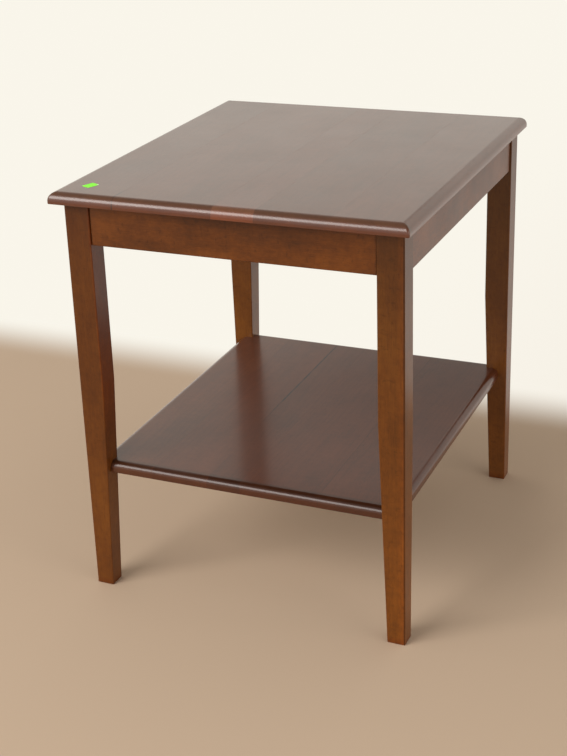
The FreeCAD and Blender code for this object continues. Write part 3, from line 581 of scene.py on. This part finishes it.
# Each leg's tint at the foot and at the top, as painted light and shade: lighter near the floor, whose
# bounce lights the foot, and darker under the top, which shades it.
LEG_SHADE_TINTS = {
    "front_left": ((1.00, 1.05, 1.18), (0.58, 0.53, 0.57)),
    "front_right": ((1.52, 1.66, 1.66), (0.62, 0.66, 0.82)),
    "back_left": ((1.18, 1.30, 1.28), (0.66, 0.67, 0.90)),
    "back_right": ((1.38, 1.64, 2.70), (0.71, 0.94, 2.20)),
}
LEG_SHADE_BAND = (0.05, 0.55)

# Darker and redder in the last few millimetres above the floor.
FOOT_DARKENING = (Z, 0.003, 0.011, (0.86, 0.70, 0.62), WHITE)

# Painted light and shade at a leg's right arris: drifts in x, counted from the leg's right side. The front
# right leg has a painted highlight beside the arris and a painted dark line on it. As painted reflection,
# the front left leg's inner face is warmer and the back right leg's right side is darker.
ARRIS_LIGHT_AND_SHADE = {
    "front_left": (
        (-0.0030, -0.0005, WHITE, (1.35, 1.10, 0.75)),
    ),
    "front_right": (
        (-0.0110, -0.0035, WHITE, (1.18, 1.08, 1.03)),
        (-0.0026, -0.0012, WHITE, (0.34, 0.32, 0.32)),
        (-0.0009, -0.0001, WHITE, (2.49, 2.89, 3.03)),
    ),
    "back_left": (),
    "back_right": (
        (-0.0012, -0.0002, WHITE, (0.98, 0.86, 0.82)),
    ),
}

# The painted shade in the corner at an apron's ends: width and strength
CORNER_SHADE = (0.0035, 0.42)

# Where the pith lies. For legs and aprons it is counted from the piece's middle, and each next leg's is
# a step further back. For boards it is beside the middle, left and right in turn, and below the surface,
# up to two steps deeper. For blocks it is below them.
LEG_PITH, LEG_PITH_STEP = (0.05, -0.07), 0.03
APRON_PITH = (0.06, 0.06, -0.04)
BOARD_PITH_ASIDE, BOARD_PITH_DEPTH, BOARD_PITH_STEP = 0.02, 0.05, 0.02
BLOCK_PITH_DEPTH = 0.03
CROSS_DOWEL_PITH, LONG_DOWEL_PITH = (0.0, 0.0, 0.4), (0.0, 0.0, 0.1)

# The boards from left to right: the tint of each, and the glue lines between them that show, each as
# its x, half width and strength, and the y where it starts to fade and the y where it is gone
TOP_LEVEL = 0.610
TOP_TINTS = (
    (1.00, 1.02, 1.00),
    (1.06, 1.06, 1.02),
    (1.10, 1.07, 1.02),
    (0.98, 1.02, 1.02),
    (1.06, 1.09, 1.05),
)
TOP_JOINTS = (
    (-0.1550, 0.0013, 0.95, -0.262, -0.235),
    (-0.0115, 0.0008, 0.55, -0.275, -0.265),
    (0.0485, 0.0008, 0.50, -0.275, -0.265),
)
SHELF_LEVEL = 0.201
SHELF_TINTS = (
    (1.14, 1.20, 1.16),
    (1.08, 1.06, 1.02),
    (0.96, 0.95, 0.96),
    (1.00, 0.96, 0.93),
    (0.93, 0.90, 0.86),
)
SHELF_JOINTS = (
    (-0.142, 0.0007, 0.15, 0.3, 0.4),
    (-0.055, 0.0020, 0.95, 0.04, -0.10),
    (-0.004, 0.0020, 0.15, 0.15, -0.15),
    (0.112, 0.0009, 0.45, 0.3, 0.4),
)

# A board shows a glue line that lies within this distance of its own span.
JOINT_REACH = 0.002

# The third board of the top is redder at its front end.
RED_BOARD = 3
RED_END = (
    (Y, -0.2785, -0.2765, (1.25, 1.55, 1.90), WHITE),
    (Y, -0.2765, -0.2620, (1.15, 1.00, 0.95), WHITE),
)


def give(node, material):
    """Puts the material in every slot of a CAD node."""
    mesh = NODES[node].data
    if not mesh.materials:
        mesh.materials.append(material)
    for i in range(len(mesh.materials)):
        mesh.materials[i] = material


def finish_legs():
    """Lighter towards the foot and darker towards the top as painted light and shade, each leg by its own
    amount, darker and redder just above the floor, and painted light and shade at the right arris.
    """
    for i, corner in enumerate(CORNERS):
        name = "leg_" + corner
        low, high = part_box(name)
        middle = (low + high) / 2
        pith = (middle.x + LEG_PITH[X], middle.y + LEG_PITH[Y] + LEG_PITH_STEP * i, 0.0)
        drifts = [(Z, *LEG_SHADE_BAND, *LEG_SHADE_TINTS[corner]), FOOT_DARKENING]
        for start, end, inside, outside in ARRIS_LIGHT_AND_SHADE[corner]:
            drifts.append((X, high.x + start, high.x + end, inside, outside))
        give(name, wood(name, LEG_LOOK, "Z", LEG_SEED + i, pith, drifts=drifts))


def finish_aprons():
    """Blotchy, with painted shade in the corner at both ends."""
    for i, (side, grain) in enumerate(APRON_GRAINS):
        name = "apron_" + side
        low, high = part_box(name)
        middle = (low + high) / 2
        pith = tuple(middle[axis] + APRON_PITH[axis] for axis in (X, Y, Z))
        axis = AXES[grain]
        ends = (middle[axis], (high[axis] - low[axis]) / 2, *CORNER_SHADE)
        give(name, wood(name, APRON_LOOK, grain, APRON_SEED + i, pith, ends=ends))


def finish_boards(kind, look, level, tints, joints, seed, drifts):
    """Each board has its own pith below it, and only the glue lines at its own two sides."""
    for i, tint in enumerate(tints, start=1):
        name = f"{kind}_board_{i}"
        low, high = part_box(name)
        aside = BOARD_PITH_ASIDE * (-1) ** i
        depth = level - BOARD_PITH_DEPTH - BOARD_PITH_STEP * (i % 3)
        pith = ((low.x + high.x) / 2 + aside, 0.0, depth)
        near = [joint for joint in joints if low.x - JOINT_REACH < joint[0] < high.x + JOINT_REACH]
        give(name, wood(name, look, "Y", seed + i, pith, tint, near, drifts.get(i, ())))


def finish_blocks():
    """Plain sawn hardwood."""
    for i, corner in enumerate(CORNERS):
        name = "corner_block_" + corner
        low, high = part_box(name)
        pith = ((low.x + high.x) / 2, 0.0, low.z - BLOCK_PITH_DEPTH)
        give(name, wood(name, BLOCK_LOOK, "X", BLOCK_SEED + i, pith))


def finish_dowels():
    """Plain beech."""
    for i, name in enumerate(("apron_dowels_front", "apron_dowels_back")):
        give(name, wood(name, DOWEL_LOOK, "X", CROSS_DOWEL_SEED + i, CROSS_DOWEL_PITH))
    for i, name in enumerate(("apron_dowels_left", "apron_dowels_right", "shelf_dowels")):
        give(name, wood(name, DOWEL_LOOK, "Y", LONG_DOWEL_SEED + i, LONG_DOWEL_PITH))


# ---------------------------------------------------------------- metal and paper

SCREW_ZINC = (0.70, 0.67, 0.58)
CLIP_ZINC = (0.62, 0.62, 0.63)
ZINC_DULLED = 0.72

STICKER_TONES = (linear(122, 240, 40), linear(150, 255, 66))
# A faint glow, painted light that stands for the paper's fluorescence.
STICKER_GLOW = linear(140, 255, 60)
# A painted glint that makes one corner of the sticker pale: its colour, its brightest point and the band of
# distance over which it fades.
STICKER_GLINT = linear(236, 244, 214)
STICKER_GLINT_AT = (-0.2027, -0.2334, TOP_LEVEL)
STICKER_GLINT_BAND = (0.0012, 0.0042)


def zinc(name, tone, seed):
    """Bright zinc plating, a little uneven and dulled."""
    tree = Tree(bpy.data.materials.new(name))
    place = tree.vector("ADD", tree.place, (seed, 0.5 * seed, 0.0))
    cloud = tree.noise(place, 240.0, 4.0, 0.6)
    fine = tree.noise(place, 2400.0, 2.0, 0.5)
    dulled = tuple(ZINC_DULLED * c for c in tone)
    return tree.surface(
        base_color=tree.ramp(cloud, (0.3, dulled), (0.7, tone)),
        metallic=1.0,
        roughness=tree.between(cloud, 0.3, 0.7, 0.42, 0.28),
        normal=tree.bump(fine, 0.15, 0.0001),
    )


def finish_metal():
    """Screws with yellowish zinc, clips with a bluer one."""
    for i, name in enumerate(("corner_block_screws", "top_screws", "clip_screws")):
        give(name, zinc(name, SCREW_ZINC, 1.0 + i))
    give("top_clips", zinc("top_clips", CLIP_ZINC, 9.0))


def finish_sticker():
    """Fluorescent green paper, with its fibres, a faint mottle, a painted glint that makes one corner pale,
    and a faint painted glow for its fluorescence.
    """
    tree = Tree(bpy.data.materials.new("lot_sticker"))
    mottle = tree.noise(tree.place, 420.0, 4.0, 0.6)
    fibre = tree.noise(tree.place, 3000.0, 3.0, 0.6)
    colour = tree.ramp(mottle, *zip((0.30, 0.70), STICKER_TONES))
    # The painted glint, pale near one corner.
    corner = tree.vector("DISTANCE", tree.place, STICKER_GLINT_AT)
    rubbed = tree.between(corner, *STICKER_GLINT_BAND, 1.0, 0.0)
    colour = tree.mix(rubbed, colour, STICKER_GLINT)
    give("lot_sticker", tree.surface(
        base_color=colour,
        roughness=tree.between(fibre, 0.3, 0.7, 0.55, 0.7),
        normal=tree.bump(fibre, 0.25, 0.0001),
        emission_color=STICKER_GLOW,
        emission_strength=0.25,
    ))


make_camera()
for lamp in LAMPS:
    make_lamp(*lamp)
make_world()
make_stage()
finish_legs()
finish_aprons()
finish_boards("top", TOP_LOOK, TOP_LEVEL, TOP_TINTS, TOP_JOINTS, TOP_SEED, {RED_BOARD: RED_END})
finish_boards("shelf", SHELF_LOOK, SHELF_LEVEL, SHELF_TINTS, SHELF_JOINTS, SHELF_SEED, {})
finish_blocks()
finish_dowels()
finish_metal()
finish_sticker()
bpy.context.scene.view_settings.view_transform = "Standard"
